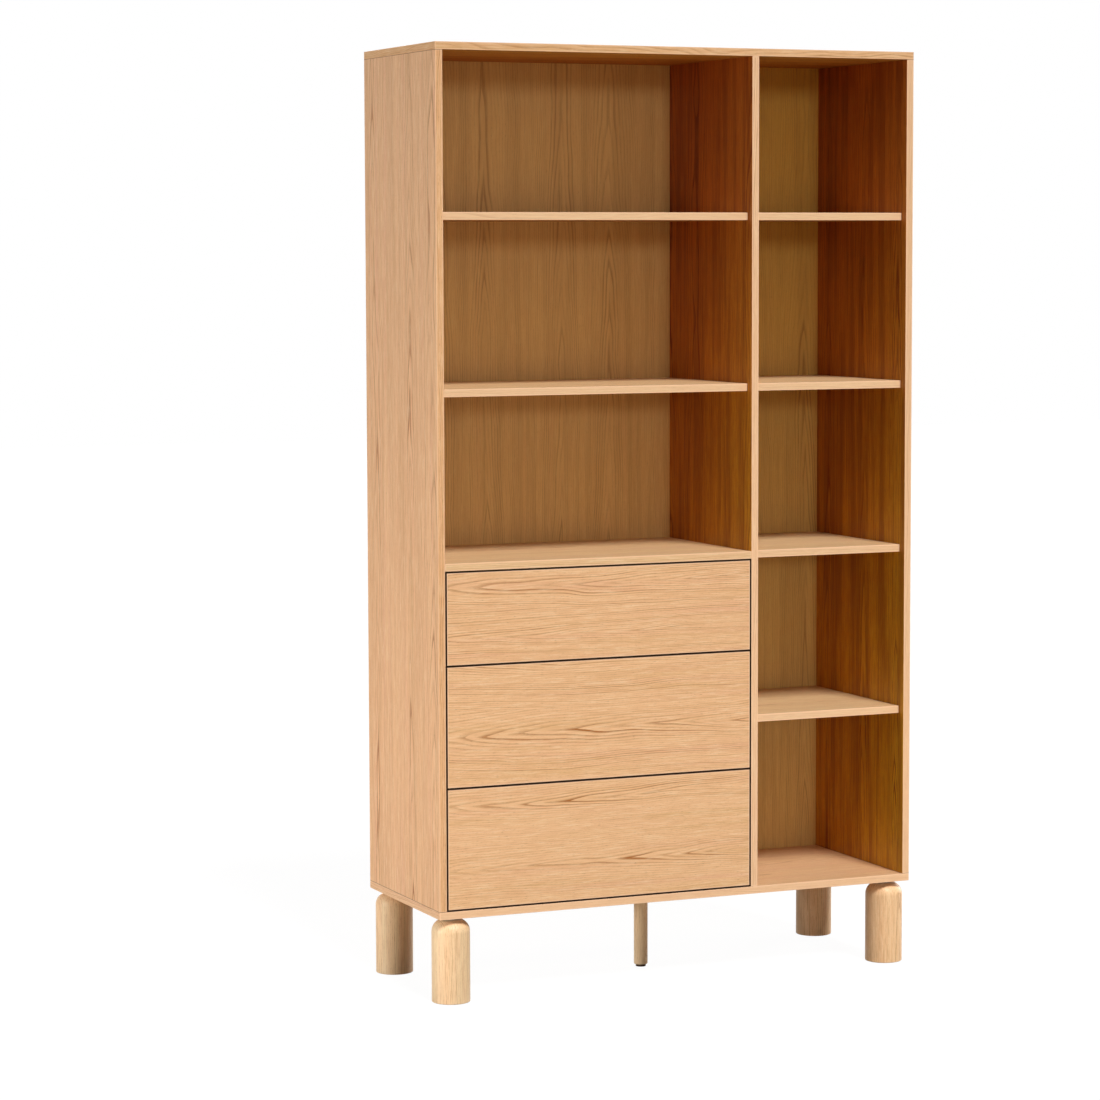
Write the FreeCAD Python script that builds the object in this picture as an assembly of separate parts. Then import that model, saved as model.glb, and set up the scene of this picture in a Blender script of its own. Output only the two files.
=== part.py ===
import FreeCAD, Part
import os

# Shelving unit of oak-veneered board on four turned oak legs and a slim centre leg.
# Left: three open bays over three push-to-open drawers. Right: five open bays.
# Millimetres. The origin is on the floor under the middle, +X right, +Y to the wall, +Z up.

# Carcass
width = 1100.0
depth = 406.0
height = 1970.0
leg_height = 180.0
board = 16.0
edge_round = 0.6
left_bay = 698.5

# Shelves, by the height of each top face above the floor
low_shelf_top = 562.5
fixed_shelf_top = 914.5
middle_shelf_top = 1269.0
high_shelf_top = 1628.5
shelf_setback = 19.0
shelf_end_gap = 1.0
shelf_back_gap = 1.0

# Back panel in its rebate
back_thickness = 4.0
back_bite = 10.0
back_play = 0.5

# Glued dowels
dowel_dia = 8.0
dowel_length = 30.0
dowel_face_depth = 11.0
dowel_edge_depth = 20.0
dowel_glue_gap = 0.05
dowel_chamfer = 1.0
dowel_inset = 50.0
shelf_dowel_inset = 90.0
carcass_dowels_per_joint = 4
shelf_dowels_per_joint = 3

# Shelf pins, half in the carcass and half in a slot under the shelf's end
pin_dia = 5.0
pin_seat = 7.0
pin_gap = 0.1
pin_inset = 37.0
pin_rounding = 0.5

# Countersunk screws of the carcass and of the drawer rails
screw_dia = 3.5
screw_head_dia = 7.0
screw_head_height = 2.2
screw_tip = 2.0
screw_gap = 0.05
screw_length = 13.0
drawer_screw_length = 11.0
screw_slot_length = 4.0
screw_slot_width = 0.8
screw_slot_depth = 1.2
back_screw_inset = 70.0
back_screws_per_side = 6
back_screws_per_end = 4

# Turned legs
leg_dia = 80.0
leg_shoulder = 26.0
leg_foot_round = 1.5
centre_leg_dia = 30.0
centre_leg_round = 2.0
leg_plate_side = 50.0
leg_plate_sheet = 2.0
leg_plate_corner = 6.0
leg_plate_boss_dia = 26.0
leg_plate_boss_height = 6.0
leg_plate_screw_inset = 6.5
leg_bolt_dia = 8.0
leg_bolt_depth = 35.0
leg_bolt_gap = 0.05
leg_bolt_chamfer = 1.0
glide_dia = 50.0
glide_proud = 1.0
centre_glide_dia = 22.0
centre_glide_proud = 5.0
glide_seat = 2.0
glide_round = 0.4

# Drawers
drawer_gap = 3.0
drawer_front_height = 250.0
drawer_front_board = 16.0
box_board = 12.0
box_length = 355.0
box_below = 10.0
box_above = 40.0
box_edge_round = 1.0
box_tongue = 6.0
box_tongue_thickness = 6.0
box_tongue_gap = 0.1
box_bottom_sheet = 4.0
box_bottom_height = 10.0
box_bottom_groove = 6.0
box_bottom_gap = 0.2
push_travel = 2.0

# Ball-bearing runners, sized across the runner and up from its middle
runner_thickness = 12.7
runner_length = 350.0
runner_height_in_drawer = 60.0
runner_end_gap = 1.0
rail_height = 45.0
rail_sheet = 1.2
rail_lip = 0.9
ball_dia = 2.6
ball_gap = 0.2
ball_spacing = 25.0
balls_per_row = 6
cage_length = 160.0
cage_sheet = 0.6
cage_gap = 0.3
cage_rim = 0.8
cage_hole_gap = 0.1
rail_screw_inset = 35.0
rail_screws = 3
rail_access_hole_dia = 9.0

# Push-to-open ejectors behind the drawers
ejector_dia = 8.0
ejector_length = 22.0
ejector_bore_dia = 5.5
ejector_wall = 4.0
ejector_gap = 0.05
ejector_rest_gap = 0.3
ejector_nose_round = 1.0
housing_setback = 3.0
housing_length = 22.0
housing_height = 16.0
housing_rear_wall = 1.5
housing_side_wall = 4.0
housing_flange = 3.0
housing_flange_height = 42.0
housing_screw_inset = 6.0
housing_round = 1.0
spring_wire = 0.7
spring_dia = 4.9
spring_turns = 6
spring_gap = 0.05

# How far a cutting tool runs past what it cuts, and the sine under which two ways count as parallel
overrun = 5.0
parallel = 0.1

# Places worked out from the sizes above
left, right = -width / 2, width / 2
front, rear = -depth / 2, depth / 2
carcass_base = leg_height
inner_left, inner_right = left + board, right - board
inner_base, inner_top = carcass_base + board, height - board
inner_rear = rear - back_thickness
partition_left = inner_left + left_bay
partition_right = partition_left + board
fixed_shelf_base = fixed_shelf_top - board
shelf_front = front + shelf_setback
shelf_rear = inner_rear - shelf_back_gap
X, Y, Z = FreeCAD.Vector(1, 0, 0), FreeCAD.Vector(0, 1, 0), FreeCAD.Vector(0, 0, 1)


def at(x, y, z):
    return FreeCAD.Vector(x, y, z)


def block(x0, x1, y0, y1, z0, z1):
    return Part.makeBox(x1 - x0, y1 - y0, z1 - z0, at(x0, y0, z0))


def rounded_block(x0, x1, y0, y1, z0, z1, radius):
    solid = block(x0, x1, y0, y1, z0, z1)
    return solid.makeFillet(radius, solid.Edges)


def rod(radius, start, end):
    return Part.makeCylinder(radius, (end - start).Length, start, end - start)


def spread(first, last, count):
    return [first + (last - first) * i / (count - 1) for i in range(count)]


def aimed(solid, point, direction):
    turned = solid.copy()
    turned.Placement = FreeCAD.Placement(point, FreeCAD.Rotation(Z, direction))
    return turned


def rims(solid):
    return [edge for edge in solid.Edges if isinstance(edge.Curve, Part.Circle)]


def edges_along(solid, way):
    return [edge for edge in solid.Edges if edge.tangentAt(edge.FirstParameter).cross(way).Length < parallel]


def carve(solid, tools):
    return solid.cut(Part.makeCompound(tools)).Solids[0] if tools else solid


def save(name, solids):
    shape = solids[0] if len(solids) == 1 else Part.makeCompound(solids)
    shape.exportStep("parts/" + name + ".step")


def carcass_boards():
    boards = {
        "top_panel": (left, right, front, rear, inner_top, height),
        "bottom_panel": (left, right, front, rear, carcass_base, inner_base),
        "left_side": (left, inner_left, front, rear, inner_base, inner_top),
        "right_side": (inner_right, right, front, rear, inner_base, inner_top),
        "partition": (partition_left, partition_right, front, inner_rear, inner_base, inner_top),
        "fixed_shelf": (inner_left, partition_left, front, inner_rear, fixed_shelf_base, fixed_shelf_top),
    }
    return {name: rounded_block(*sides, edge_round) for name, sides in boards.items()}


# The back lies in a rebate all round the carcass, flush with its rear edges
def back_rebate():
    return block(
        inner_left - back_bite, inner_right + back_bite,
        inner_rear, rear + overrun,
        inner_base - back_bite, inner_top + back_bite)


def back_panel():
    bite = back_bite - back_play
    return block(inner_left - bite, inner_right + bite, inner_rear, rear, inner_base - bite, inner_top + bite)


# Each dowel joint is a point on the joint's plane and the way into the board that is bored in its edge
def dowel_joints():
    edge_rows = spread(front + dowel_inset, rear - dowel_inset, carcass_dowels_per_joint)
    shelf_rows = spread(front + shelf_dowel_inset, inner_rear - shelf_dowel_inset, shelf_dowels_per_joint)
    uprights = {
        "left_side": left + board / 2,
        "partition": partition_left + board / 2,
        "right_side": right - board / 2,
    }
    joints = []
    for upright, x in uprights.items():
        joints += [("top_panel", upright, at(x, y, inner_top), -Z) for y in edge_rows]
        joints += [("bottom_panel", upright, at(x, y, inner_base), Z) for y in edge_rows]
    shelf_middle = fixed_shelf_base + board / 2
    joints += [("left_side", "fixed_shelf", at(inner_left, y, shelf_middle), X) for y in shelf_rows]
    joints += [("partition", "fixed_shelf", at(partition_left, y, shelf_middle), -X) for y in shelf_rows]
    return joints


def dowel(point, direction):
    play = (dowel_face_depth + dowel_edge_depth - dowel_length) / 2
    start = point - direction * (dowel_face_depth - play)
    peg = rod(dowel_dia / 2, start, start + direction * dowel_length)
    return peg.makeChamfer(dowel_chamfer, rims(peg))


def dowel_hole(point, direction):
    radius = dowel_dia / 2 + dowel_glue_gap
    return rod(radius, point - direction * dowel_face_depth, point + direction * dowel_edge_depth)


# Loose shelves by bay and level, with the carcass boards that hold their pins
def loose_shelves():
    left_span = (inner_left, partition_left, "left_side", "partition")
    right_span = (partition_right, inner_right, "partition", "right_side")
    return {
        "left_shelf_lower": left_span + (middle_shelf_top,),
        "left_shelf_upper": left_span + (high_shelf_top,),
        "right_shelf_1": right_span + (low_shelf_top,),
        "right_shelf_2": right_span + (fixed_shelf_top,),
        "right_shelf_3": right_span + (middle_shelf_top,),
        "right_shelf_4": right_span + (high_shelf_top,),
    }


# The pins lie inside the shelf's thickness, so none of them shows
def pin_places(span_left, span_right, top):
    z = top - board + pin_dia / 2
    rows = (shelf_front + pin_inset, shelf_rear - pin_inset)
    return [(at(x, y, z), way) for x, way in ((span_left, X), (span_right, -X)) for y in rows]


def pin(point, direction):
    peg = rod(pin_dia / 2, point - direction * pin_seat, point + direction * pin_seat)
    return peg.makeFillet(pin_rounding, rims(peg))


def pin_hole(point, direction):
    return rod(pin_dia / 2, point - direction * pin_seat, point)


def pin_slot(point, direction):
    radius = pin_dia / 2 + pin_gap
    start, end = point - direction * overrun, point + direction * (pin_seat + pin_gap)
    low, high = sorted((start.x, end.x))
    round_top = rod(radius, start, end)
    throat = block(low, high, point.y - radius, point.y + radius, point.z - pin_dia / 2 - overrun, point.z)
    return round_top.fuse(throat)


def loose_shelf(span_left, span_right, top):
    solid = rounded_block(
        span_left + shelf_end_gap, span_right - shelf_end_gap,
        shelf_front, shelf_rear, top - board, top, edge_round)
    return carve(solid, [pin_slot(*place) for place in pin_places(span_left, span_right, top)])


# A countersunk screw standing on the origin, its head's face at zero and its shank going up
def screw(length):
    shank = Part.makeCylinder(screw_dia / 2, length - screw_tip)
    tip = Part.makeCone(screw_dia / 2, 0, screw_tip, at(0, 0, length - screw_tip))
    head = Part.makeCone(screw_head_dia / 2, screw_dia / 2, screw_head_height)
    reach, side = screw_slot_length / 2, screw_slot_width / 2
    cross = [
        block(-reach, reach, -side, side, -overrun, screw_slot_depth),
        block(-side, side, -reach, reach, -overrun, screw_slot_depth),
    ]
    return carve(head.fuse([shank, tip]).removeSplitter().Solids[0], cross)


def screw_hole(length):
    shank = Part.makeCylinder(screw_dia / 2 + screw_gap, length + screw_gap)
    head_radius = screw_head_dia / 2 + screw_gap
    head = Part.makeCone(head_radius, screw_dia / 2 + screw_gap, screw_head_height + screw_gap)
    return head.fuse(shank).removeSplitter()


def back_screw_places():
    bite_middle = back_bite / 2
    heights = spread(inner_base + back_screw_inset, inner_top - back_screw_inset, back_screws_per_side)
    columns = {
        "left_side": inner_left - bite_middle,
        "partition": partition_left + board / 2,
        "right_side": inner_right + bite_middle,
    }
    places = [(name, at(x, rear, z), -Y) for name, x in columns.items() for z in heights]
    runs = {"top_panel": inner_top + bite_middle, "bottom_panel": inner_base - bite_middle}
    spans = spread(inner_left + back_screw_inset, inner_right - back_screw_inset, back_screws_per_end)
    return places + [(name, at(x, rear, z), -Y) for name, z in runs.items() for x in spans]


# Leg places, named by corner, and the slim leg under the middle of the bottom panel
def corner_legs():
    x, y = right - leg_dia / 2, rear - leg_dia / 2
    return {
        "leg_front_left": at(-x, -y, 0),
        "leg_front_right": at(x, -y, 0),
        "leg_rear_left": at(-x, y, 0),
        "leg_rear_right": at(x, y, 0),
    }


def leg_seats():
    return list(corner_legs().values()) + [at(0, 0, 0)]


leg_top = leg_height - leg_plate_boss_height


# Half the leg's outline, turned about its middle: foot, side and round shoulder
def turned_leg(place, radius, shoulder, foot_round, foot, recess_dia):
    outline = Part.makePolygon([
        at(0, 0, foot), at(radius, 0, foot), at(radius, 0, leg_top), at(0, 0, leg_top), at(0, 0, foot)])
    body = Part.Face(outline).revolve(at(0, 0, 0), Z, 360)
    body = body.makeFillet(shoulder, [edge for edge in rims(body) if edge.Curve.Center.z > leg_top / 2])
    body = body.makeFillet(foot_round, [edge for edge in rims(body) if edge.Curve.Center.z < leg_top / 2])
    recess = rod(recess_dia / 2, at(0, 0, foot - overrun), at(0, 0, foot + glide_seat))
    bore_radius = leg_bolt_dia / 2 + leg_bolt_gap
    bore = rod(bore_radius, at(0, 0, leg_top - leg_bolt_depth), at(0, 0, leg_top + overrun))
    leg = carve(body.Solids[0] if body.Solids else body, [recess, bore])
    leg.translate(place)
    return leg


def glide(place, radius, proud):
    disc = rod(radius, at(0, 0, 0), at(0, 0, proud + glide_seat))
    disc = disc.makeFillet(glide_round, [edge for edge in rims(disc) if edge.Curve.Center.z < proud])
    disc.translate(place)
    return disc


def leg_plate_screw_places(place):
    reach = leg_plate_side / 2 - leg_plate_screw_inset
    z = leg_height - leg_plate_sheet
    return [(at(place.x + i * reach, place.y + j * reach, z), Z) for i in (-1, 1) for j in (-1, 1)]


def leg_plate(place, holes):
    half = leg_plate_side / 2
    sheet = block(
        place.x - half, place.x + half, place.y - half, place.y + half,
        leg_height - leg_plate_sheet, leg_height)
    sheet = sheet.makeFillet(leg_plate_corner, edges_along(sheet, Z))
    boss_foot = at(place.x, place.y, leg_top)
    boss_head = boss_foot + Z * leg_plate_boss_height
    boss = rod(leg_plate_boss_dia / 2, boss_foot, boss_head)
    bore = rod(leg_bolt_dia / 2 + leg_bolt_gap, boss_foot - Z * overrun, boss_head + Z * overrun)
    return carve(sheet.fuse(boss).removeSplitter().Solids[0], [bore] + holes)


def leg_bolt(place):
    seat = at(place.x, place.y, leg_top)
    stud = rod(leg_bolt_dia / 2, seat - Z * leg_bolt_depth, seat + Z * leg_plate_boss_height)
    return stud.makeChamfer(leg_bolt_chamfer, rims(stud))


# Drawer fronts fill the opening under the fixed shelf, with the same gap all round
def drawer_levels():
    lower_base = inner_base + drawer_gap
    middle_base = lower_base + drawer_front_height + drawer_gap
    upper_base = middle_base + drawer_front_height + drawer_gap
    upper_top = fixed_shelf_base - drawer_gap
    return {
        "lower": (lower_base, lower_base + drawer_front_height),
        "middle": (middle_base, middle_base + drawer_front_height),
        "upper": (upper_base, upper_top),
    }


box_front = front + drawer_front_board
box_rear = box_front + box_length
box_left = inner_left + runner_thickness
box_right = partition_left - runner_thickness
rail_front = box_front + push_travel + runner_end_gap
rail_rear = rail_front + runner_length


def box_tongue_span():
    inset = (box_board - box_tongue_thickness) / 2
    return inset, inset + box_tongue_thickness


# Groove for the thin bottom, cut into the front, the sides and the back of the box
def bottom_groove(base, gap):
    z = base + box_below + box_bottom_height
    reach = box_bottom_groove - box_board + gap
    return block(
        box_left - reach, box_right + reach,
        box_front - box_bottom_groove - gap, box_rear + reach,
        z - gap, z + box_bottom_sheet + gap)


def drawer_front(base, top):
    solid = rounded_block(
        inner_left + drawer_gap, partition_left - drawer_gap, front, box_front, base, top, edge_round)
    near, far = box_tongue_span()
    gap = box_tongue_gap
    low, high = base + box_below - gap, top - box_above + gap
    dados = [
        block(x0, x1, box_front - box_tongue - gap, box_front + overrun, low, high)
        for x0, x1 in (
            (box_left + near - gap, box_left + far + gap),
            (box_right - far - gap, box_right - near + gap))
    ]
    return carve(solid, dados + [bottom_groove(base, box_bottom_gap)])


# A side ends in a tongue that is glued into the front, and has a dado for the back's tongue
def box_side(base, top, outer, way):
    low, high = base + box_below, top - box_above
    inner = outer + way * box_board
    x0, x1 = min(outer, inner), max(outer, inner)
    solid = block(x0, x1, box_front, box_rear, low, high)
    solid = solid.makeFillet(box_edge_round, edges_along(solid, Y))
    near, far = box_tongue_span()
    tongue_ends = sorted((outer + way * near, outer + way * far))
    tongue = block(*tongue_ends, box_front - box_tongue, box_front, low, high)
    solid = solid.fuse(tongue).removeSplitter().Solids[0]
    gap = box_tongue_gap
    dado_ends = sorted((inner - way * (box_tongue + gap), inner + way * overrun))
    dado = block(
        *dado_ends, box_rear - far - gap, box_rear - near + gap,
        low - overrun, high + overrun)
    return carve(solid, [dado, bottom_groove(base, box_bottom_gap)])


def box_back(base, top):
    low, high = base + box_below, top - box_above
    x0, x1 = box_left + box_board, box_right - box_board
    panel = block(x0, x1, box_rear - box_board, box_rear, low, high)
    near, far = box_tongue_span()
    tongue = block(x0 - box_tongue, x1 + box_tongue, box_rear - far, box_rear - near, low, high)
    solid = panel.fuse(tongue).removeSplitter().Solids[0]
    return carve(solid, [bottom_groove(base, box_bottom_gap)])


def box_bottom(base):
    return bottom_groove(base, 0)


# Where the parts of a runner lie, counted from the carcass face across the runner
outer_cage_start = rail_sheet + cage_gap
centre_rail_start = outer_cage_start + cage_sheet + cage_gap
inner_cage_start = centre_rail_start + rail_sheet + cage_gap
drawer_rail_end = inner_cage_start + cage_sheet + cage_gap
ball_middle = drawer_rail_end + rail_sheet + ball_gap + ball_dia / 2
rail_reach = ball_middle + ball_dia / 2 + ball_gap + rail_sheet
cage_reach = ball_middle + ball_dia / 2 + cage_rim
race = ball_dia + 2 * ball_gap
cabinet_half = rail_height / 2
centre_half = cabinet_half - rail_sheet - race
drawer_half = centre_half - rail_sheet - race
outer_ball_height = centre_half + race / 2
inner_ball_height = drawer_half + race / 2


def channel_outline(web, end, half, sheet, lip_in, lip_out):
    s = sheet if end > web else -sheet
    lower = [
        (web, -half), (end - s, -half), (end - s, -half - lip_out), (end, -half - lip_out),
        (end, -half + sheet + lip_in), (end - s, -half + sheet + lip_in),
        (end - s, -half + sheet), (web + s, -half + sheet)]
    points = lower + [(u, -w) for u, w in reversed(lower)]
    kept = [points[0]]
    for point in points[1:]:
        if point != kept[-1]:
            kept.append(point)
    return kept


# A profile of (across, up) points made into a bar along the runner
def bar(points, face, way, z, y0, y1):
    corners = [at(face + way * u, y0, z + w) for u, w in points]
    return Part.Face(Part.makePolygon(corners + corners[:1])).extrude(at(0, y1 - y0, 0)).removeSplitter()


def runner_sides():
    return ((inner_left, 1), (partition_left, -1))


def rail_screw_rows():
    return spread(rail_front + rail_screw_inset, rail_rear - rail_screw_inset, rail_screws)


def cabinet_rail_screw_places(z):
    return [
        (at(face + way * rail_sheet, y, z), -X * way)
        for face, way in runner_sides() for y in rail_screw_rows()]


def drawer_rail_screw_places(z):
    across = runner_thickness - rail_sheet
    return [
        (at(face + way * across, y, z), X * way)
        for face, way in runner_sides() for y in rail_screw_rows()]


def cabinet_rails(z, holes):
    outline = channel_outline(0, rail_reach, cabinet_half, rail_sheet, rail_lip, 0)
    return [carve(bar(outline, face, way, z, rail_front, rail_rear), holes) for face, way in runner_sides()]


def centre_rails(z):
    outline = channel_outline(centre_rail_start, rail_reach, centre_half, rail_sheet, rail_lip, 0)
    radius = rail_access_hole_dia / 2
    rails = []
    for face, way in runner_sides():
        access = [
            rod(radius, at(face, y, z), at(face + way * runner_thickness, y, z)) for y in rail_screw_rows()]
        rails.append(carve(bar(outline, face, way, z, rail_front, rail_rear), access))
    return rails


def drawer_rails(z, holes):
    outline = channel_outline(runner_thickness, drawer_rail_end, drawer_half, rail_sheet, 0, rail_lip)
    return [carve(bar(outline, face, way, z, rail_front, rail_rear), holes) for face, way in runner_sides()]


# A cage carries one row of balls above and one below; at rest it lies at the middle of the rails
def ball_cages(z, start, ball_height):
    middle = (rail_front + rail_rear) / 2
    rows = spread(
        middle - ball_spacing * (balls_per_row - 1) / 2,
        middle + ball_spacing * (balls_per_row - 1) / 2, balls_per_row)
    half = ball_height + cage_sheet / 2
    outline = channel_outline(start, cage_reach, half, cage_sheet, 0, 0)
    hole_radius = ball_dia / 2 + cage_hole_gap
    solids = []
    for face, way in runner_sides():
        centres = [at(face + way * ball_middle, y, z + side * ball_height) for y in rows for side in (-1, 1)]
        holes = [rod(hole_radius, centre - Z * ball_dia, centre + Z * ball_dia) for centre in centres]
        cage = bar(outline, face, way, z, middle - cage_length / 2, middle + cage_length / 2)
        solids.append(carve(cage, holes))
        solids += [Part.makeSphere(ball_dia / 2, centre) for centre in centres]
    return solids


# The ejector stands behind the end of the drawer's left side, in a housing screwed to the carcass side
ejector_x = inner_left + runner_thickness + box_board / 2
ejector_tip = box_rear + push_travel + ejector_rest_gap
housing_front = ejector_tip + housing_setback
housing_rear = housing_front + housing_length
housing_reach = ejector_x + ejector_dia / 2 + housing_side_wall


def housing_screw_places(z):
    reach = housing_flange_height / 2 - housing_screw_inset
    y = (housing_front + housing_rear) / 2
    return [(at(inner_left + housing_flange, y, z + side * reach), -X) for side in (-1, 1)]


def ejector_housing(z, holes):
    shell = rounded_block(
        inner_left, housing_reach, housing_front, housing_rear,
        z - housing_height / 2, z + housing_height / 2, housing_round)
    flange = block(
        inner_left, inner_left + housing_flange, housing_front, housing_rear,
        z - housing_flange_height / 2, z + housing_flange_height / 2)
    radius = ejector_dia / 2 + ejector_gap
    bore_start = at(ejector_x, housing_front - overrun, z)
    bore = rod(radius, bore_start, at(ejector_x, housing_rear - housing_rear_wall, z))
    return carve(shell.fuse(flange).removeSplitter().Solids[0], [bore] + holes)


def ejector(z):
    tip = at(ejector_x, ejector_tip, z)
    body = rod(ejector_dia / 2, tip, tip + Y * ejector_length)
    body = body.makeFillet(ejector_nose_round, [min(rims(body), key=lambda edge: edge.Curve.Center.y)])
    bore = rod(ejector_bore_dia / 2, tip + Y * ejector_wall, tip + Y * (ejector_length + overrun))
    return carve(body, [bore])


# The spring is pressed between the ejector's blind end and the end of the housing's bore
def ejector_spring(z):
    start = ejector_tip + ejector_wall + spring_gap
    end = housing_rear - housing_rear_wall - spring_gap
    coil_radius = (spring_dia - spring_wire) / 2
    rise = end - start - spring_wire
    helix = Part.makeHelix(rise / spring_turns, rise, coil_radius)
    section = Part.Wire(Part.makeCircle(spring_wire / 2, at(coil_radius, 0, 0), Y))
    coil = Part.Wire(helix.Edges).makePipeShell([section], True, True)
    return aimed(coil.Solids[0], at(ejector_x, start + spring_wire / 2, z), Y)


def build():
    os.makedirs("parts", exist_ok=True)
    boards = carcass_boards()
    rebate = back_rebate()
    bores = {name: [rebate] for name in ("top_panel", "bottom_panel", "left_side", "right_side")}
    bores.update({"partition": [], "fixed_shelf": [], "back_panel": []})
    carcass_screw, carcass_screw_hole = screw(screw_length), screw_hole(screw_length)
    drawer_screw, drawer_screw_hole = screw(drawer_screw_length), screw_hole(drawer_screw_length)
    screws = []

    dowels = []
    for faced, edged, point, direction in dowel_joints():
        dowels.append(dowel(point, direction))
        bores[faced].append(dowel_hole(point, direction))
        bores[edged].append(dowel_hole(point, direction))
    save("carcass_dowels", dowels)

    pins = []
    for name, (span_left, span_right, left_board, right_board, top) in loose_shelves().items():
        save(name, [loose_shelf(span_left, span_right, top)])
        for point, direction in pin_places(span_left, span_right, top):
            pins.append(pin(point, direction))
            bores[left_board if direction.x > 0 else right_board].append(pin_hole(point, direction))
    save("shelf_pins", pins)

    for name, point, direction in back_screw_places():
        screws.append(aimed(carcass_screw, point, direction))
        hole = aimed(carcass_screw_hole, point, direction)
        bores["back_panel"].append(hole)
        bores[name].append(hole)

    for name, place in corner_legs().items():
        save(name, [turned_leg(place, leg_dia / 2, leg_shoulder, leg_foot_round, glide_proud, glide_dia)])
    save("centre_leg", [turned_leg(
        at(0, 0, 0), centre_leg_dia / 2, centre_leg_round, centre_leg_round,
        centre_glide_proud, centre_glide_dia)])
    glides = [glide(place, glide_dia / 2, glide_proud) for place in corner_legs().values()]
    glides.append(glide(at(0, 0, 0), centre_glide_dia / 2, centre_glide_proud))
    save("leg_glides", glides)
    plates = []
    for place in leg_seats():
        spots = leg_plate_screw_places(place)
        holes = [aimed(carcass_screw_hole, *spot) for spot in spots]
        screws += [aimed(carcass_screw, *spot) for spot in spots]
        bores["bottom_panel"] += holes
        plates.append(leg_plate(place, holes))
    save("leg_plates", plates)
    save("leg_bolts", [leg_bolt(place) for place in leg_seats()])

    rails, housings, springs = [], [], []
    for level, (base, top) in drawer_levels().items():
        z = base + runner_height_in_drawer

        spots = cabinet_rail_screw_places(z)
        holes = [aimed(carcass_screw_hole, *spot) for spot in spots]
        screws += [aimed(carcass_screw, *spot) for spot in spots]
        bores["left_side"] += [hole for hole, spot in zip(holes, spots) if spot[1].x < 0]
        bores["partition"] += [hole for hole, spot in zip(holes, spots) if spot[1].x > 0]
        rails += cabinet_rails(z, holes)

        spots = housing_screw_places(z)
        holes = [aimed(carcass_screw_hole, *spot) for spot in spots]
        screws += [aimed(carcass_screw, *spot) for spot in spots]
        bores["left_side"] += holes
        housings.append(ejector_housing(z, holes))
        springs.append(ejector_spring(z))
        save(level + "_ejector", [ejector(z)])

        spots = drawer_rail_screw_places(z)
        holes = [aimed(drawer_screw_hole, *spot) for spot in spots]
        save(level + "_drawer_front", [drawer_front(base, top)])
        save(level + "_drawer_left_side", [carve(box_side(base, top, box_left, 1), holes)])
        save(level + "_drawer_right_side", [carve(box_side(base, top, box_right, -1), holes)])
        save(level + "_drawer_back", [box_back(base, top)])
        save(level + "_drawer_bottom", [box_bottom(base)])
        save(level + "_drawer_screws", [aimed(drawer_screw, *spot) for spot in spots])
        save(level + "_drawer_rails", drawer_rails(z, holes))
        save(level + "_centre_rails", centre_rails(z))
        save(level + "_outer_ball_cages", ball_cages(z, outer_cage_start, outer_ball_height))
        save(level + "_inner_ball_cages", ball_cages(z, inner_cage_start, inner_ball_height))
    save("cabinet_rails", rails)
    save("ejector_housings", housings)
    save("ejector_springs", springs)
    save("carcass_screws", screws)

    save("back_panel", [carve(back_panel(), bores.pop("back_panel"))])
    for name, solid in boards.items():
        save(name, [carve(solid, bores[name])])


build()
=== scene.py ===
import math
import bpy
from mathutils import Matrix, Vector


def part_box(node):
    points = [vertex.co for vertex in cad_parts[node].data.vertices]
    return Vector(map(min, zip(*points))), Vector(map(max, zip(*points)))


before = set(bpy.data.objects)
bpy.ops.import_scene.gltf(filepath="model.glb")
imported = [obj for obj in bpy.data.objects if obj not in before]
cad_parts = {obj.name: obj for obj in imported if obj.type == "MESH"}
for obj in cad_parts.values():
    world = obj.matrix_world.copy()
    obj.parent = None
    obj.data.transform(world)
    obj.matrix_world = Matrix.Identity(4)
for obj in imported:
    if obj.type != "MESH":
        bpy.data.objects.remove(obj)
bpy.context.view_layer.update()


# Bottom panel: 16 mm chipboard with oak veneer glued on both faces and oak bands on its four edges.
# It spans the whole foot of the unit, with the legs under it, and the sides stand on it on glued dowels.
class Reading:
    """A value or colour at each point of a surface. Sums with it add Math nodes to its recipe."""

    def __init__(self, recipe, socket):
        self.recipe = recipe
        self.socket = socket

    def sum(self, operation, *operands):
        return self.recipe.node("ShaderNodeMath", {"operation": operation}, dict(enumerate(operands)))

    def __add__(self, other):
        return self.sum("ADD", self, other)

    def __sub__(self, other):
        return self.sum("SUBTRACT", self, other)

    def __rsub__(self, other):
        return self.sum("SUBTRACT", other, self)

    def __mul__(self, other):
        return self.sum("MULTIPLY", self, other)

    def __truediv__(self, other):
        return self.sum("DIVIDE", self, other)

    def __abs__(self):
        return self.sum("ABSOLUTE", self)

    def floor(self):
        return self.sum("FLOOR", self)

    def root(self):
        return self.sum("SQRT", self)

    def larger(self, other):
        return self.sum("MAXIMUM", self, other)

    def output(self, name):
        return Reading(self.recipe, self.socket.node.outputs[name])

    __radd__ = __add__
    __rmul__ = __mul__


def paint(red, green, blue):
    """A colour as a screen shows it, 0 to 255, in the linear values that a shader takes."""
    def linear(level):
        share = level / 255
        return share / 12.92 if share <= 0.04045 else ((share + 0.055) / 1.055) ** 2.4
    return (linear(red), linear(green), linear(blue), 1.0)


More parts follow.
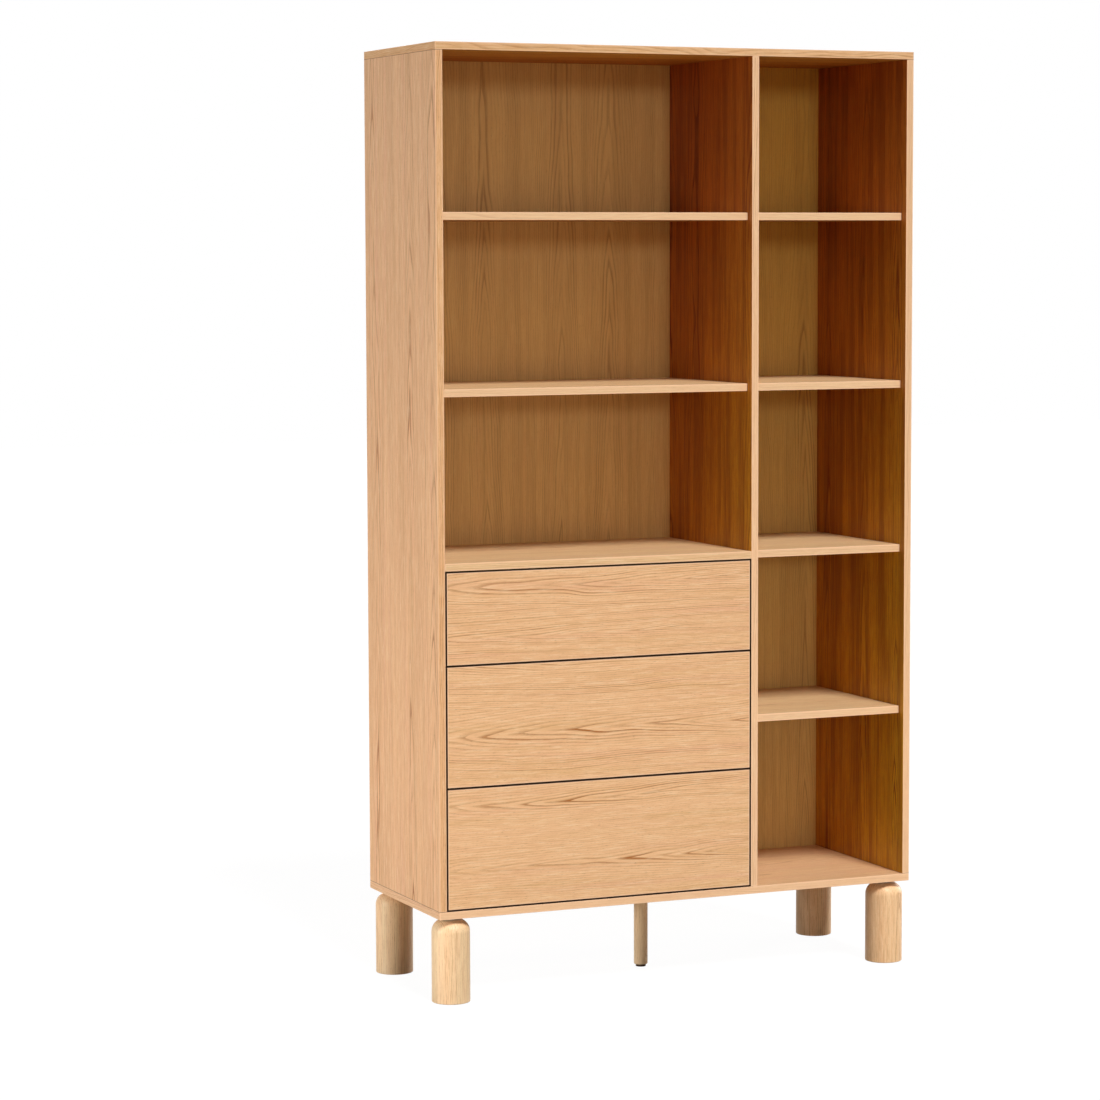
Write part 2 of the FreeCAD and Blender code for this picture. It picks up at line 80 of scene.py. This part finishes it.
class Recipe:
    """The nodes that make up a finish, or the light all round."""

    def __init__(self, tree):
        self.tree = tree

    def feed(self, socket, value):
        if isinstance(value, Reading):
            self.tree.links.new(value.socket, socket)
        else:
            socket.default_value = value

    def node(self, kind, settings, sockets):
        made = self.tree.nodes.new(kind)
        for name, value in settings.items():
            setattr(made, name, value)
        for key, value in sockets.items():
            self.feed(made.inputs[key], value)
        return Reading(self, next(socket for socket in made.outputs if socket.enabled))

    def place(self):
        return self.node("ShaderNodeTexCoord", {}, {}).output("Object")

    def normal(self):
        return self.node("ShaderNodeNewGeometry", {}, {}).output("Normal")

    def seen(self):
        """1 for what the camera, a gloss or a clear piece shows, 0 for what only lights the unit."""
        rays = self.node("ShaderNodeLightPath", {}, {})
        return rays + rays.output("Is Glossy Ray") + rays.output("Is Transmission Ray")

    def turned(self, place, centre, turn):
        sockets = {"Vector": place, "Location": centre, "Rotation": turn}
        return self.node("ShaderNodeMapping", {"vector_type": "TEXTURE"}, sockets)

    def stretched(self, place, factors):
        return self.node("ShaderNodeVectorMath", {"operation": "MULTIPLY"}, {0: place, 1: factors})

    def parts(self, vector):
        split = self.node("ShaderNodeSeparateXYZ", {}, {"Vector": vector})
        return split, split.output("Y"), split.output("Z")

    def vector(self, x, y, z):
        return self.node("ShaderNodeCombineXYZ", {}, {"X": x, "Y": y, "Z": z})

    def noise(self, place, scale, detail, roughness=0.5):
        sockets = {"Vector": place, "Scale": scale, "Detail": detail, "Roughness": roughness}
        return self.node("ShaderNodeTexNoise", {}, sockets)

    def chance(self, number):
        return self.node("ShaderNodeTexWhiteNoise", {"noise_dimensions": "1D"}, {"W": number})

    def between(self, value, low, high, at_low=0.0, at_high=1.0):
        sockets = {"Value": value, "From Min": low, "From Max": high, "To Min": at_low, "To Max": at_high}
        return self.node("ShaderNodeMapRange", {"interpolation_type": "SMOOTHSTEP"}, sockets)

    def mixed(self, factor, first, second, how="MIX"):
        settings = {"data_type": "RGBA", "blend_type": how}
        return self.node("ShaderNodeMix", settings, {0: factor, 6: first, 7: second})

    def tinted(self, colour, tint, share=1.0):
        return self.mixed(share, colour, tint, "MULTIPLY")

    def swapped(self, factor, first, second):
        return self.node("ShaderNodeMix", {"data_type": "VECTOR"}, {0: factor, 4: first, 5: second})

    def facing(self, normal, way):
        dot = self.node("ShaderNodeVectorMath", {"operation": "DOT_PRODUCT"}, {0: normal, 1: tuple(way)})
        return dot.output("Value")

    def faces(self, normal, way, start=0.5, full=0.8):
        """1 on the faces that look the given way, and 0 on the others."""
        return self.between(self.facing(normal, way), start, full)


class Finish(Recipe):
    """A material in the making, on Blender's own surface shader."""

    def __init__(self, name, uniform):
        self.material = bpy.data.materials.new(name)
        self.material.use_nodes = True
        super().__init__(self.material.node_tree)
        self.surface = self.tree.nodes["Principled BSDF"]
        for socket, value in uniform.items():
            self.surface.inputs[socket].default_value = value

    def show(self, socket, value):
        self.feed(self.surface.inputs[socket], value)

    def relief(self, height, strength, distance):
        sockets = {"Height": height, "Strength": strength, "Distance": distance}
        self.show("Normal", self.node("ShaderNodeBump", {}, sockets))

    def on(self, *names):
        for name in names:
            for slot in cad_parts[name].material_slots:
                slot.material = self.material


def grain_turn(along, across):
    """How a pattern turns so that its X follows the grain and its Y runs across the leaves."""
    return Matrix((along, across, along.cross(across))).transposed().to_euler()


def oak_grain(finish, place, leaf, pith, taper, ring, crest, seed):
    """Crown-cut oak in leaves side by side: growth rings about a pith that slopes through the leaf.

    A leaf is so many metres wide, and the pith so deep under it, plus the taper for each metre along it.
    A ring is a year's growth, and a higher crest makes the crowns blunter.
    """
    along, across, deep = finish.parts(place)
    leaves = across / leaf + seed
    leaf_number = leaves.floor()
    luck = finish.chance(leaf_number + seed * 7.3)
    luck_a, luck_b, luck_c = finish.parts(luck.output("Color"))
    slid = along + luck_a * 3.0 + seed

    def drawn_out(along_rate, across_rate, detail, roughness=0.5):
        """Noise with so many marks to the metre along the grain, and so many across it."""
        mark_place = finish.vector(slid * along_rate, across * across_rate, deep * across_rate)
        return finish.noise(mark_place, 1.0, detail, roughness)

    drift_place = finish.vector(slid * 1.6, (across + seed) * 5.0, deep * 5.0)
    drift_a, drift_b, drift_c = finish.parts(finish.noise(drift_place, 1.0, 3.0).output("Color"))
    off_middle = (luck_b - 0.5) * leaf * 0.45
    bend = (drift_a - 0.5) * 0.05
    dip = (drift_b - 0.5) * 0.035
    wobble = (drift_c - 0.5) * 5.0
    spread = abs((leaves - leaf_number - 0.5) * leaf + off_middle + bend)
    depth = pith * (0.7 + luck_c * 0.6) + along * taper + deep + dip
    square = spread * (spread + crest) + depth * depth
    rings = square.root() / ring + wobble
    number = rings.floor()
    phase = rings - number
    early = finish.between(phase, 0.0, 0.08) * finish.between(phase, 0.1, 0.62, 1.0, 0.0)
    year = finish.chance(number + seed)
    fibre = drawn_out(26.0, 900.0, 3.0, 0.6)
    streak_a, streak_b, streak_c = finish.parts(drawn_out(1.7, 42.0, 4.0, 0.55).output("Color"))
    pores = finish.between(drawn_out(120.0, 2600.0, 1.0), 0.6, 0.72) * (0.3 + early * 0.7)
    crown = finish.between(spread, 0.002, 0.03, 1.5, 0.85)
    line = early * (0.2 + year * year * 0.8) * crown * finish.between(streak_c, 0.3, 0.62, 0.3, 1.0)
    fleck = drawn_out(24.0, 330.0, 3.0, 0.65)
    return line, fibre, pores, fleck, streak_a, streak_b


def lacquered(finish, grain, roughness, relief, depth):
    """Clear lacquer over oak: duller on fibres and growth lines, and sunk a little in pores and lines."""
    line, fibre, pores = grain[:3]
    finish.show("Roughness", roughness + fibre * 0.1 + line * 0.06)
    finish.relief(fibre * 0.35 - pores - line * 0.4, relief, depth)


MM = 0.001
X_WAY, Y_WAY, Z_WAY = Vector((1, 0, 0)), Vector((0, 1, 0)), Vector((0, 0, 1))
LIGHT_OAK = paint(243, 196, 147)
PINK_OAK = paint(240, 188, 145)
YELLOW_OAK = paint(234, 187, 134)
PALE_OAK = paint(255, 226, 186)
BAND_OAK = paint(255, 212, 171)
DARK_OAK = paint(150, 66, 6)
GRAIN_BROWN = paint(165, 98, 28)
PORE_BROWN = paint(124, 58, 10)
SEAM_BROWN = paint(128, 78, 44)
# Painted shade of the drawers' gaps: brown for the fronts' edges, and a dark rim round their faces that is
# partly glue line.
EDGE_SHADE_BROWN = paint(106, 68, 38)
GLUE_AND_SHADE_BROWN = paint(58, 32, 12)
# Painted shade for the faces that lie round the drawers.
CAVITY_SHADE = (0.16, 0.1, 0.05, 1)
# Painted shade for the faces in the bays, at their front and at their back, and a weaker one for faces that
# look right.
BAY_SHADE = ((0.62, 0.46, 0.15, 1), (0.52, 0.29, 0.08, 1))
HIDDEN_SHADE = ((0.84, 0.74, 0.52, 1), (0.7, 0.54, 0.32, 1))
BAY_MOUTH, BAY_DEPTH = -0.2, 0.16
BAYS_FOOT, BAYS_HEAD = 0.1, 2.1
RIGHT_BAYS = (0.165, 0.18)
COAT = 0.12
oak_surface = {"Roughness": 0.5, "Coat Weight": COAT, "Coat Roughness": 0.35, "Specular IOR Level": 0.4}


def veneer(name, along, across, seed, leaf=0.17, pith=0.05, taper=0.026, ring=0.0028, crest=0.02,
           surface=oak_surface, ends=False, figure=1.0, lines=0.55, soft=1.0, streaks=0.0, tone=None,
           worn=0.5, band=0.45, seams=False, shaded_edges=False, cavity=None, inner=(), bay_shade=BAY_SHADE,
           bay_streaks=0.3, shade_by_height=None, right_only=False, hidden_right=False):
    """Matt lacquered oak veneer for one board: its grain follows along, its leaves lie side by side across.

    ends: the board's ends show end grain. figure, lines, soft and streaks: how strong the grain, its growth
    lines, its flecks and its dark streaks are. tone: a tint of the whole board. worn and band: how pale
    the front edge is: on its arrises as wear and a painted highlight, and all over. seams: the joints at
    the top and bottom show. core: the edges behind the face are painted dark brown, as painted shade of
    the gaps, and a thin dark rim round the face is partly glue line and partly painted shade. cavity: the
    way, axis and end of faces that lie round the drawers, which are painted dark as painted shade.
    inner: the ways that the faces in the bays look. bay_shade: their painted shade, at the front and at
    the back. bay_streaks: how strong the grain's dark streaks are in the bays, which deepens that shade.
    shade_by_height: a painted tint of that shade, low and high, which right_only keeps to the right-hand
    bays.
    hidden_right: the faces that look right are hardly seen from the front, and take only a weak painted
    shade.
    """
    low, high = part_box(name)
    centre = (low + high) / 2
    half = (high - low) / 2
    finish = Finish("oak_veneer_" + name, surface)
    shown = finish.place()
    shown_x, shown_y, shown_z = finish.parts(shown)
    normal = finish.normal()
    place = finish.turned(shown, centre, grain_turn(along, across))
    if ends:
        end_face = finish.between(abs(finish.facing(normal, along)), 0.5, 0.8)
        _, grain_v, grain_w = finish.parts(place)
        place = finish.swapped(end_face, place, finish.vector(grain_v, 0.03, grain_w))
    grain = oak_grain(finish, place, leaf, pith, taper, ring, crest, seed)
    line, fibre, pores, fleck, streak_a, streak_b = grain
    bay = sum([finish.faces(normal, way) for way in inner], 0.0)
    hidden = finish.faces(normal, X_WAY) if hidden_right else 0.0
    figure = bay * (figure * 0.5) + figure

    warm = finish.mixed(finish.between(streak_a, 0.35, 0.65), PINK_OAK, YELLOW_OAK)
    ground = finish.mixed(finish.between(streak_b, 0.3, 0.6), warm, LIGHT_OAK)
    lined = finish.mixed((line * lines + (fibre - 0.5) * 0.2) * figure, ground, GRAIN_BROWN)
    flecked = finish.mixed((0.5 - fleck) * 0.55 * figure * soft, lined, DARK_OAK)
    streaked = finish.mixed((fleck - 0.5) * 2.2 * figure * soft, flecked, PALE_OAK)
    colour = finish.mixed(pores * 0.4 * figure, streaked, PORE_BROWN)
    if streaks:
        colour = finish.mixed(finish.between(streak_a, 0.4, 0.62) * streaks, colour, DARK_OAK)
    if tone:
        colour = finish.tinted(colour, tone)

    gap_x, gap_y, gap_z = [reach - abs(part - middle) for reach, part, middle
                           in zip(half, (shown_x, shown_y, shown_z), centre)]
    edge = gap_x + gap_y + gap_z - gap_x.larger(gap_y).larger(gap_z)
    # The front edge is paler: on its arrises as wear and a painted highlight, and all over as a paler band.
    front = finish.between(shown_y, low.y + 0.4 * MM, low.y + 1.6 * MM, 1.0, 0.0)
    arris = finish.between(edge, 1.6 * MM, 3.2 * MM, 1.0, 0.0) * front
    colour = finish.mixed(arris * worn + front * band, colour, BAND_OAK)
    # Painted shade on the faces in the bays: deeper towards the back, tinted by height, with darker grain
    # streaks.
    if inner:
        dark_streaks = finish.between(streak_a, 0.42, 0.62) * bay * bay_streaks * (1 - hidden * 0.7)
        colour = finish.mixed(dark_streaks, colour, DARK_OAK)
        deep_in = finish.between(shown_y, BAY_MOUTH, BAY_DEPTH)
        shade = finish.mixed(deep_in, *bay_shade)
        if shade_by_height:
            tint = finish.mixed(finish.between(shown_z, BAYS_FOOT, BAYS_HEAD), *shade_by_height)
            share = finish.between(shown_x, *RIGHT_BAYS) if right_only else 1.0
            shade = finish.tinted(shade, tint, share)
        if hidden_right:
            shade = finish.mixed(hidden, shade, finish.mixed(deep_in, *HIDDEN_SHADE))
        colour = finish.tinted(colour, shade, bay)
    # Painted shade on the faces that lie round the drawers.
    if cavity:
        way, axis, reach = cavity
        inside = finish.between((shown_x, shown_y, shown_z)[axis], reach - MM, reach, 1.0, 0.0)
        colour = finish.tinted(colour, CAVITY_SHADE, finish.faces(normal, way) * inside)
    if seams:
        colour = finish.mixed(finish.between(gap_z, 0.6 * MM, 1.4 * MM, 0.75, 0.0), colour, SEAM_BROWN)
    # Painted shade of the gaps: a thin dark rim round the face, partly glue line, and dark brown edges.
    if shaded_edges:
        glue_and_shade_line = finish.between(edge, 0.5 * MM, 1.1 * MM, 1.0, 0.0) * front
        colour = finish.mixed(glue_and_shade_line, colour, GLUE_AND_SHADE_BROWN)
        flank = finish.between(abs(finish.facing(normal, Y_WAY)), 0.3, 0.6, 1.0, 0.0)
        colour = finish.mixed(flank, colour, EDGE_SHADE_BROWN)
        finish.show("Coat Weight", COAT - flank * COAT)
    finish.show("Base Color", colour)
    lacquered(finish, grain, 0.46, 0.35, 0.25 * MM)
    finish.on(name)


X_AXIS, Z_AXIS = 0, 2
DRAWERS_RIGHT = 0.17
# Its top face round the drawers takes painted shade.
veneer("bottom_panel", X_WAY, Y_WAY, 1.13, leaf=0.21, ends=True, cavity=(Z_WAY, X_AXIS, DRAWERS_RIGHT))

# Uprights: two sides and a full-height partition of the same veneered board, with upright grain.
# They are doweled and glued between the bottom and top panels; the drawers' rails are screwed to them.
DRAWERS_TOP = 0.9
# Painted shade on the walls in the bays: lighter low down, darker and redder high up.
WALL_SHADE_BY_HEIGHT = ((1.45, 1.75, 0.42, 1), (1.0, 0.62, 0.4, 1))
# The uprights' faces in the bays take painted shade, the left side's only weakly.
veneer("left_side", Z_WAY, Y_WAY, 2.71, leaf=0.16, pith=0.06, ring=0.004, figure=1.5, soft=0.85,
       streaks=0.1, tone=(1, 0.95, 0.88, 1), band=0.0, seams=True, cavity=(X_WAY, Z_AXIS, DRAWERS_TOP),
       inner=[X_WAY], bay_shade=HIDDEN_SHADE, bay_streaks=0.1)
veneer("partition", Z_WAY, Y_WAY, 3.37, leaf=0.19, ring=0.005, figure=1.3,
       cavity=(-X_WAY, Z_AXIS, DRAWERS_TOP), inner=[X_WAY, -X_WAY], bay_streaks=0.45,
       shade_by_height=WALL_SHADE_BY_HEIGHT, hidden_right=True)
veneer("right_side", Z_WAY, Y_WAY, 4.59, leaf=0.15, ring=0.005, figure=1.3, streaks=0.1, seams=True,
       inner=[-X_WAY], bay_streaks=0.45, shade_by_height=WALL_SHADE_BY_HEIGHT)

# Top panel: veneered board like the bottom one, lying over the sides and banded all round.
# Its lacquer is duller than that of the other boards, so that the top doesn't glare when seen from the rear.
dull_surface = {"Roughness": 0.6, "Specular IOR Level": 0.08}
veneer("top_panel", X_WAY, Y_WAY, 5.23, leaf=0.2, surface=dull_surface, ends=True, band=0.0,
       inner=[-Z_WAY])

# Fixed shelf over the drawers: the same veneered board, flush with the front edges of the carcass.
# Glued dowels hold it between the left side and the partition. Its under face closes the drawers' space and
# is painted dark as painted shade.
SHELF_TONE = (0.97, 1.05, 1.03, 1)
OVER_SHELF = 1.0
veneer("fixed_shelf", X_WAY, Y_WAY, 6.41, leaf=0.2, tone=SHELF_TONE, band=0.25,
       cavity=(-Z_WAY, Z_AXIS, OVER_SHELF))

# Back panel: a 4 mm veneered sheet with upright grain.
# It lies in a rebate all round the carcass, and screws hold it to the panels, the sides and the partition.
# The back panel's face in the bays takes painted shade, browner and darker high up in the right-hand bays.
BACK_SHADE = ((0.88, 0.88, 0.5, 1), (0.88, 0.88, 0.5, 1))
veneer("back_panel", Z_WAY, X_WAY, 7.17, leaf=0.155, pith=0.04, taper=0.03, ring=0.0042, crest=0.03,
       figure=1.5, soft=0.5, inner=[-Y_WAY], bay_shade=BACK_SHADE, bay_streaks=0.12,
       shade_by_height=((0.98, 1.02, 0.95, 1), (0.91, 0.8, 0.28, 1)), right_only=True)

# Loose shelves: two in the left part and four in the right, of veneered board set back from the front edge.
# Each rests on four metal pins, which are half in the upright and half in a slot under the shelf's end.
loose_shelves = ("left_shelf_lower", "left_shelf_upper", "right_shelf_1", "right_shelf_2",
                 "right_shelf_3", "right_shelf_4")
for count, name in enumerate(loose_shelves):
    veneer(name, X_WAY, Y_WAY, 8.3 + count * 1.7, leaf=0.2, ends=True, tone=SHELF_TONE, inner=[-Z_WAY])


# Dowels: beech pegs that hold the carcass together.
# They are glued into the ends of the uprights and of the fixed shelf, and into the boards that these meet.
def plain_wood(name, light, dark, nodes):
    finish = Finish(name, {"Roughness": 0.6})
    place = finish.turned(finish.place(), (0, 0, 0), grain_turn(Z_WAY, X_WAY))
    grain = finish.noise(finish.stretched(place, (6.0, 90.0, 90.0)), 1.0, 4.0, 0.6)
    finish.show("Base Color", finish.mixed(finish.between(grain, 0.3, 0.7), light, dark))
    finish.relief(grain, 0.2, 0.3 * MM)
    finish.on(*nodes)


plain_wood("glued_beech", paint(214, 176, 132), paint(190, 148, 104), ["carcass_dowels"])


# Legs: four 80 mm turned legs and a slim centre leg, solid oak, matt lacquered.
# Each is turned from one blank with upright grain, with a round shoulder and a broken foot edge, and is
# bolted to a steel plate under the bottom panel. The left and centre legs, which the left lamps light,
# are painted paler than the right-hand ones: painted light.
def solid_oak(name, seed, light, dark):
    low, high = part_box(name)
    finish = Finish("turned_oak_" + name, oak_surface)
    across = Vector((math.cos(seed), math.sin(seed), 0))
    place = finish.turned(finish.place(), (low + high) / 2, grain_turn(Z_WAY, across))
    grain = oak_grain(finish, place, 1.5, 0.075, 0.05, 0.0032, 0.0, seed)
    line, fibre, pores, fleck, streak_a, _ = grain
    ground = finish.mixed(finish.between(streak_a, 0.35, 0.65), dark, light)
    ray_place = finish.stretched(place, (60.0, 260.0, 700.0))
    rays = finish.between(finish.noise(ray_place, 1.0, 2.0), 0.6, 0.72)
    lined = finish.mixed(line * 0.7 + (0.5 - fleck) * 1.1 + (fibre - 0.5) * 0.3, ground, GRAIN_BROWN)
    pored = finish.mixed(pores * 0.5, lined, PORE_BROWN)
    finish.show("Base Color", finish.mixed(rays * 0.45 + (fleck - 0.5) * 2.0, pored, PALE_OAK))
    lacquered(finish, grain, 0.44, 0.4, 0.3 * MM)
    finish.on(name)


# Painted light: the paler colours for the legs that the left lamps light.
pale_lit_blank = (paint(255, 225, 178), paint(254, 213, 166))
brown_blank = (paint(254, 213, 163), paint(249, 202, 152))
leg_blanks = {"leg_front_left": pale_lit_blank, "leg_front_right": brown_blank, "leg_rear_left": pale_lit_blank,
              "leg_rear_right": brown_blank, "centre_leg": pale_lit_blank}
for count, (name, blank) in enumerate(leg_blanks.items()):
    solid_oak(name, 0.6 + count * 1.3, *blank)


# Metal pieces: the drawers' rails and ball cages, the leg plates and bolts, screws, shelf pins and springs.
# Rails, plates, bolts and screws are zinc-plated steel, the pins are nickel-plated, the rest is plain steel.
def metal(name, colour, dull, lay, nodes):
    finish = Finish(name, {"Metallic": 1.0})
    place = finish.place()
    drawn = finish.noise(finish.stretched(place, lay), 1.0, 3.0)
    cloud = finish.noise(place, 60.0, 3.0)
    finish.show("Base Color", finish.mixed(finish.between(cloud, 0.35, 0.7), colour, dull))
    finish.show("Roughness", 0.26 + drawn * 0.16 + cloud * 0.1)
    finish.relief(drawn, 0.08, 0.1 * MM)
    finish.on(*nodes)


levels = ("lower", "middle", "upper")
along_rail = (3000.0, 25.0, 3000.0)
no_lay = (900.0, 900.0, 900.0)
rails = ["cabinet_rails"] + [level + kind for level in levels for kind in ("_drawer_rails", "_centre_rails")]
metal("zinc_rail", paint(196, 199, 203), paint(168, 172, 178), along_rail, rails)
fasteners = ["leg_plates", "leg_bolts", "carcass_screws"] + [level + "_drawer_screws" for level in levels]
metal("zinc_fastener", paint(190, 192, 194), paint(160, 162, 166), no_lay, fasteners)
metal("nickel_pin", paint(206, 202, 192), paint(180, 176, 166), no_lay, ["shelf_pins"])
cages = [level + kind for level in levels for kind in ("_outer_ball_cages", "_inner_ball_cages")]
metal("bright_cage", paint(176, 178, 180), paint(150, 152, 156), along_rail, cages)
metal("spring_wire", paint(150, 150, 152), paint(120, 120, 124), no_lay, ["ejector_springs"])


# Glides: discs of pressed brown felt.
# One is let into the foot of each leg, so that the unit doesn't scratch the floor.
def felt(name, light, dark, nodes):
    finish = Finish(name, {"Roughness": 0.95, "Sheen Weight": 0.4})
    tufts = finish.noise(finish.place(), 900.0, 4.0, 0.7)
    finish.show("Base Color", finish.mixed(finish.between(tufts, 0.3, 0.7), dark, light))
    finish.relief(tufts, 0.6, 0.6 * MM)
    finish.on(*nodes)


felt("brown_felt", paint(96, 72, 52), paint(52, 38, 28), ["leg_glides"])


# Ejectors: grey plastic housings screwed to the left side, with white plastic rods.
# They are moulded. A rod pushes its drawer out once the front has been pressed, because there is no handle.
def moulded(name, colour, worn, nodes):
    finish = Finish(name, {"Specular IOR Level": 0.45})
    place = finish.place()
    spark = finish.noise(place, 1800.0, 2.0)
    cloud = finish.noise(place, 45.0, 3.0)
    finish.show("Base Color", finish.mixed(finish.between(cloud, 0.35, 0.75) * 0.5, colour, worn))
    finish.show("Roughness", 0.42 + cloud * 0.14)
    finish.relief(spark, 0.12, 0.2 * MM)
    finish.on(*nodes)


moulded("grey_plastic", paint(126, 128, 130), paint(108, 110, 114), ["ejector_housings"])
moulded("white_plastic", paint(232, 232, 226), paint(214, 213, 205), [level + "_ejector" for level in levels])


# Drawer boxes: sides and backs of birch ply, lacquered, with the plies showing on their edges.
# The back is tongued into the sides, and the sides are tongued and glued into the drawer front.
HALF_BOARD = 6.0 * MM
PLY = 1.35 * MM


def ply(name, along, through, seed):
    low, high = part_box(name)
    finish = Finish("birch_ply_" + name, {"Roughness": 0.45, "Coat Weight": 0.2, "Coat Roughness": 0.3})
    place = finish.turned(finish.place(), (low + high) / 2, grain_turn(along, through))
    grain_u, grain_v, grain_w = finish.parts(place)
    face_place = finish.vector(grain_u * 2.4 + seed, grain_v * 60.0, grain_w * 26.0)
    figure = finish.noise(face_place, 1.0, 4.0, 0.55)
    fibre = finish.noise(finish.vector(grain_u * 30.0, grain_v * 700.0, grain_w * 700.0), 1.0, 3.0, 0.6)
    face = finish.mixed(finish.between(figure, 0.3, 0.7), paint(236, 211, 172), paint(219, 188, 144))
    plies = (grain_v + HALF_BOARD) / PLY
    odd = finish.between(abs(plies - (plies / 2 + 0.5).floor() * 2), 0.44, 0.56)
    layer = finish.mixed(odd, paint(226, 196, 152), paint(170, 130, 88))
    cut = finish.between(abs(finish.facing(finish.normal(), through)), 0.5, 0.75, 1.0, 0.0)
    wood = finish.mixed(cut, face, layer)
    finish.show("Base Color", finish.mixed((fibre - 0.4) * 0.35, wood, paint(196, 160, 114)))
    finish.relief(fibre, 0.2, 0.2 * MM)
    finish.on(name)


for count, level in enumerate(levels):
    ply(level + "_drawer_left_side", Y_WAY, X_WAY, count * 2.1)
    ply(level + "_drawer_right_side", Y_WAY, X_WAY, count * 2.1 + 0.7)
    ply(level + "_drawer_back", X_WAY, Y_WAY, count * 2.1 + 1.4)


# Drawer bottoms: 4 mm hardboard, painted white.
# Each lies in a groove all round, in the box's sides and back and in the drawer front.
def painted_board(name, nodes):
    finish = Finish(name, {"Roughness": 0.55})
    place = finish.place()
    peel = finish.noise(place, 420.0, 3.0)
    scuff = finish.between(finish.noise(place, 9.0, 4.0), 0.4, 0.8)
    finish.show("Base Color", finish.mixed(scuff, paint(236, 234, 228), paint(222, 218, 208)))
    finish.relief(peel, 0.15, 0.3 * MM)
    finish.on(*nodes)


painted_board("white_hardboard", [level + "_drawer_bottom" for level in levels])

# Drawer fronts: veneered board with level grain, inset in the carcass with a 3 mm gap all round.
# They have no handles. Their edges are painted dark brown as painted shade, and a thin dark rim round the
# face is partly glue line and partly painted shade, so that the gaps look dark.
for count, level in enumerate(levels):
    veneer(level + "_drawer_front", -X_WAY, Z_WAY, 20.7 + count * 3.1, leaf=0.15, pith=0.034, taper=0.046,
           ring=0.0038, figure=1.6, lines=0.5, soft=0.6, worn=0.85, band=0.0, shaded_edges=True)


# Studio: a white floor, five soft suns and a panel, pale light all round and a camera at the left front.
# What the camera and the gloss see of floor and world is white; the light that these give is dim and warm.
CAMERA_PLACE = Vector((-3.13729, -6.71404, 1.54962))
CAMERA_YAW, CAMERA_PITCH, CAMERA_ROLL = 23.54, 4.95, -0.17
PHOTO_SIDE, FOCAL_PIXELS, SENSOR = 1100, 3455.05, 36.0
camera = bpy.data.objects.new("camera", bpy.data.cameras.new("camera"))
bpy.context.scene.collection.objects.link(camera)
bpy.context.scene.camera = camera
camera.data.sensor_width = SENSOR
camera.data.lens = FOCAL_PIXELS / PHOTO_SIDE * SENSOR
camera.data.clip_end = 100.0
camera.matrix_world = (
    Matrix.Translation(CAMERA_PLACE)
    @ Matrix.Rotation(math.radians(-CAMERA_YAW), 4, "Z")
    @ Matrix.Rotation(math.radians(90 - CAMERA_PITCH), 4, "X")
    @ Matrix.Rotation(math.radians(CAMERA_ROLL), 4, "Z"))


def sun(name, way, strength, width):
    """A lamp far away in the given way from the unit. Its width is an angle in degrees."""
    lamp = bpy.data.objects.new(name, bpy.data.lights.new(name, "SUN"))
    bpy.context.scene.collection.objects.link(lamp)
    lamp.data.energy = strength
    lamp.data.angle = math.radians(width)
    lamp.rotation_euler = (-Vector(way)).to_track_quat("-Z", "Y").to_euler()


sun("front_lamp", (0.05, -0.64, 0.77), 2.8, 16)
sun("low_lamp", (0.0, -1.0, 0.14), 0.28, 6)
sun("left_lamp", (-1.0, 0.0, 0.10), 0.66, 3)
sun("right_lamp", (0.88, 0.36, 0.25), 1.15, 24)
sun("rear_lamp", (0.25, 0.90, 0.30), 1.2, 24)

PANEL_PLACE, PANEL_AIM = Vector((-2.9, -0.1, 0.4)), Vector((0, 0, 0.4))
panel = bpy.data.objects.new("left_panel", bpy.data.lights.new("left_panel", "AREA"))
bpy.context.scene.collection.objects.link(panel)
panel.data.energy = 26.0
panel.data.size = 1.4
panel.visible_camera = False
panel.location = PANEL_PLACE
panel.rotation_euler = (PANEL_AIM - PANEL_PLACE).to_track_quat("-Z", "Y").to_euler()

AMBIENT, WHITE = (0.062, 0.052, 0.042, 1), (1, 1, 1, 1)
world = bpy.data.worlds.new("studio")
bpy.context.scene.world = world
world.use_nodes = True
sky = Recipe(world.node_tree)
sky.feed(sky.tree.nodes["Background"].inputs["Color"], sky.mixed(sky.seen(), AMBIENT, WHITE))

FLOOR_REACH = 40.0
RING_START, RING_END = (0.5, 1.1), (1.6, 3.0)
FLOOR_BOUNCE, RING_BOUNCE = (0.2, 0.15, 0.1, 1), (0.66, 0.55, 0.44, 1)
FLOOR_GREY, FLOOR_GLOW, BLACK = (0.08, 0.08, 0.08, 1), (0.96, 0.96, 0.96, 1), (0, 0, 0, 1)
bpy.ops.object.select_all(action="DESELECT")
bpy.ops.mesh.primitive_plane_add(size=FLOOR_REACH, location=(0, 0, 0))
floor = bpy.context.object
floor.name = "floor"
floor_finish = Finish("white_floor", {"Roughness": 1.0, "Specular IOR Level": 0.0, "Emission Strength": 1.0})
floor_seen = floor_finish.seen()
from_middle = floor_finish.node("ShaderNodeVectorMath", {"operation": "LENGTH"}, {0: floor_finish.place()})
from_middle = from_middle.output("Value")
ring = floor_finish.between(from_middle, *RING_START) * floor_finish.between(from_middle, *RING_END, 1.0, 0.0)
bounce = floor_finish.mixed(ring, FLOOR_BOUNCE, RING_BOUNCE)
floor_finish.show("Base Color", floor_finish.mixed(floor_seen, bounce, FLOOR_GREY))
floor_finish.show("Emission Color", floor_finish.mixed(floor_seen, BLACK, FLOOR_GLOW))
floor.data.materials.append(floor_finish.material)

view = bpy.context.scene.view_settings
view.view_transform = "Standard"
